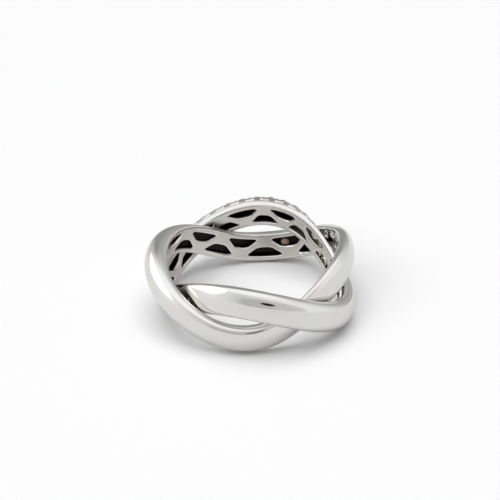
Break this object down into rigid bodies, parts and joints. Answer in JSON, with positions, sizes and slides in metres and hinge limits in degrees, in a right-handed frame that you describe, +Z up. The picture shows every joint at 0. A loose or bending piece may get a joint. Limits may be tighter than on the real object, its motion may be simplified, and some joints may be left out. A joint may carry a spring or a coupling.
{
  "type": "braided ring",
  "caption": "Finger ring of interlaced half-round metal strands, pierced on the inside, with round stones set in rows over the far half.",
  "frame": {"origin": "on the finger's axis, level with the surface that the ring lies on", "axes": "+Z up along the finger's axis, -Y towards the viewer in the picture, +X to the right"},
  "size_m": [0.0226, 0.0227, 0.008],
  "materials": {
    "polished_metal": "mirror-polished white gold outside, satin inside the pierced gallery",
    "stone": "clear cut stone, faceted"
  },
  "bodies": {
    "root": {"first_strand": "polished_metal", "second_strand": "polished_metal", "first_stones": "stone", "second_stones": "stone"}
  },
  "joints": []
}
